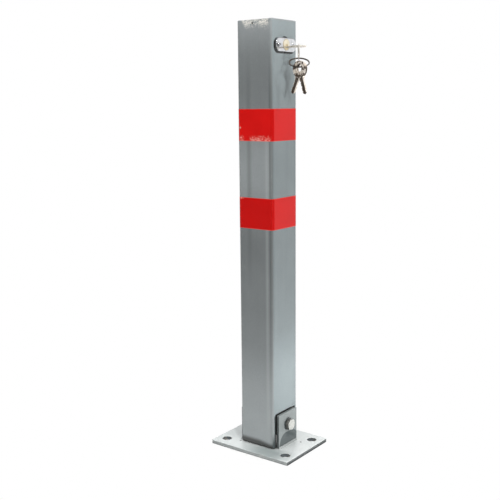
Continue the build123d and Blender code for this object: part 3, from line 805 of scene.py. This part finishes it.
# The studio is white behind the object and dim in front of it, as its reflections show
BEHIND = (-0.6, 0.8, 0.0)
BEHIND_AND_UP = (-0.6, 0.8, 0.55)
DIM_TO_WHITE = (-0.12, 0.25)
DIM = 0.08
WHITE = (1.0, 1.0, 1.0, 1.0)
ROOM_COLOUR = (0.93, 0.97, 1.0, 1.0)
ROOM_LEVEL = 0.11
FLOOR_RADIUS, FLOOR_Z = 4.0, -0.0002
FLOOR_FADE = (0.056, 0.084)


def backdrop(n, plain, white, direction, behind, share, out):
    """White in place of the plain shader for the camera, glass and reflections of what is behind."""
    rays = n.new("ShaderNodeLightPath").outputs
    glossy = rays["Is Glossy Ray"]
    seen = n.math("MAXIMUM", rays["Is Camera Ray"], glossy)
    seen = n.math("MAXIMUM", seen, rays["Is Transmission Ray"])
    toward = n.vector("DOT_PRODUCT", direction, behind)["Value"]
    level = n.ramp(toward, *DIM_TO_WHITE, DIM, 1.0)
    n.link(n.math("MAXIMUM", n.math("SUBTRACT", 1.0, glossy), level), white.inputs["Strength"])
    mixer = n.new("ShaderNodeMixShader")
    n.link(n.math("MULTIPLY", seen, share), mixer.inputs[0])
    n.link(plain.outputs[0], mixer.inputs[1])
    n.link(white.outputs[0], mixer.inputs[2])
    n.link(mixer.outputs[0], out.inputs["Surface"])


def floor_material():
    """Pale floor that takes the shadow and melts into the white background round the base."""
    n = Finish("studio_floor")
    n.set(Base_Color=srgb(250, 250, 250), Roughness=0.9, Specular_IOR_Level=0.1)
    fade = n.ramp(n.vector("LENGTH", n.place)["Value"], *FLOOR_FADE)
    direction = n.vector("NORMALIZE", n.place)["Vector"]
    backdrop(n, n.shader, n.new("ShaderNodeEmission"), direction, BEHIND, fade, n.out)
    return n.mat


def disc(name, radius, material):
    count = 96
    verts = [(0.0, 0.0, 0.0)]
    for i in range(count):
        a = 2 * math.pi * i / count
        verts.append((radius * math.cos(a), radius * math.sin(a), 0.0))
    faces = [(0, 1 + i, 1 + (i + 1) % count) for i in range(count)]
    return mesh_object(name, verts, faces, material, False)


floor = disc("floor", FLOOR_RADIUS, floor_material())
floor.location.z = FLOOR_Z


def world():
    """Dim, even room light, and the white background."""
    studio = bpy.data.worlds.new("studio")
    bpy.context.scene.world = studio
    studio.use_nodes = True
    n = Nodes(studio.node_tree)
    n.tree.nodes.clear()
    room = n.new("ShaderNodeBackground")
    room.inputs["Color"].default_value = ROOM_COLOUR
    room.inputs["Strength"].default_value = ROOM_LEVEL
    white = n.new("ShaderNodeBackground")
    white.inputs["Color"].default_value = WHITE
    direction = n.new("ShaderNodeTexCoord").outputs["Generated"]
    backdrop(n, room, white, direction, BEHIND_AND_UP, 1.0, n.new("ShaderNodeOutputWorld"))


# Name, place, target, size, watts and colour of each lamp
LAMPS = (
    ("key", (1.60, -0.35, 1.75), (0.03, 0.0, 0.40), (0.26, 0.26), 18.0, (1.0, 0.99, 0.97)),
    ("low", (1.55, -1.16, 0.84), (0.03, 0.0, 0.55), (0.15, 0.42), 27.0, (1.0, 1.0, 0.98)),
    ("top", (-0.3, -0.2, 2.6), (0.0, 0.0, 0.2), (1.6, 1.6), 34.0, (1.0, 1.0, 1.0)),
    ("side", (1.9, 0.9, 0.9), (0.0, 0.0, 0.35), (1.2, 1.6), 1.5, (0.97, 0.99, 1.0)),
    ("back", (-1.3, 1.9, 1.3), (0.0, 0.0, 0.35), (1.5, 1.5), 12.0, (1.0, 1.0, 1.0)),
    ("front", (-0.9, -2.1, 1.0), (0.0, 0.0, 0.33), (1.4, 1.6), 4.0, (1.0, 1.0, 0.98)),
)


def softbox(name, place, target, size, watts, colour):
    """Area lamp; only the key lamp shows in reflections."""
    data = bpy.data.lights.new(name, "AREA")
    data.shape = "RECTANGLE"
    data.size, data.size_y = size
    data.energy = watts
    data.color = colour
    lamp = bpy.data.objects.new(name, data)
    bpy.context.collection.objects.link(lamp)
    lamp.location = place
    aim = Vector(target) - Vector(place)
    lamp.rotation_euler = aim.to_track_quat("-Z", "Y").to_euler()
    lamp.visible_glossy = name == "key"


world()
for lamp in LAMPS:
    softbox(*lamp)

# Camera: solved from the post's and the plate's corners in the photograph
CAMERA_LENS = 58.86
CAMERA_PLACE = (0.74264, -1.02819, 0.54483)
AZIMUTH, ELEVATION, ROLL = math.radians(37.131), math.radians(10.013), math.radians(-0.5675)

camera_data = bpy.data.cameras.new("camera")
camera_data.lens = CAMERA_LENS
camera_data.sensor_width = 36.0
camera_data.sensor_fit = "HORIZONTAL"
camera_data.clip_start = 0.01
camera_data.clip_end = 50.0
camera = bpy.data.objects.new("camera", camera_data)
bpy.context.collection.objects.link(camera)
level = Vector((math.cos(AZIMUTH), math.sin(AZIMUTH), 0.0))
ahead = Vector((math.sin(AZIMUTH), -math.cos(AZIMUTH), 0.0))
back = math.cos(ELEVATION) * ahead + Vector((0.0, 0.0, math.sin(ELEVATION)))
plumb = back.cross(level)
right = math.cos(ROLL) * level + math.sin(ROLL) * plumb
up = math.cos(ROLL) * plumb - math.sin(ROLL) * level
turn = Matrix((right, up, back)).transposed().to_4x4()
camera.matrix_world = Matrix.Translation(CAMERA_PLACE) @ turn
bpy.context.scene.camera = camera
bpy.context.scene.view_settings.view_transform = "Standard"
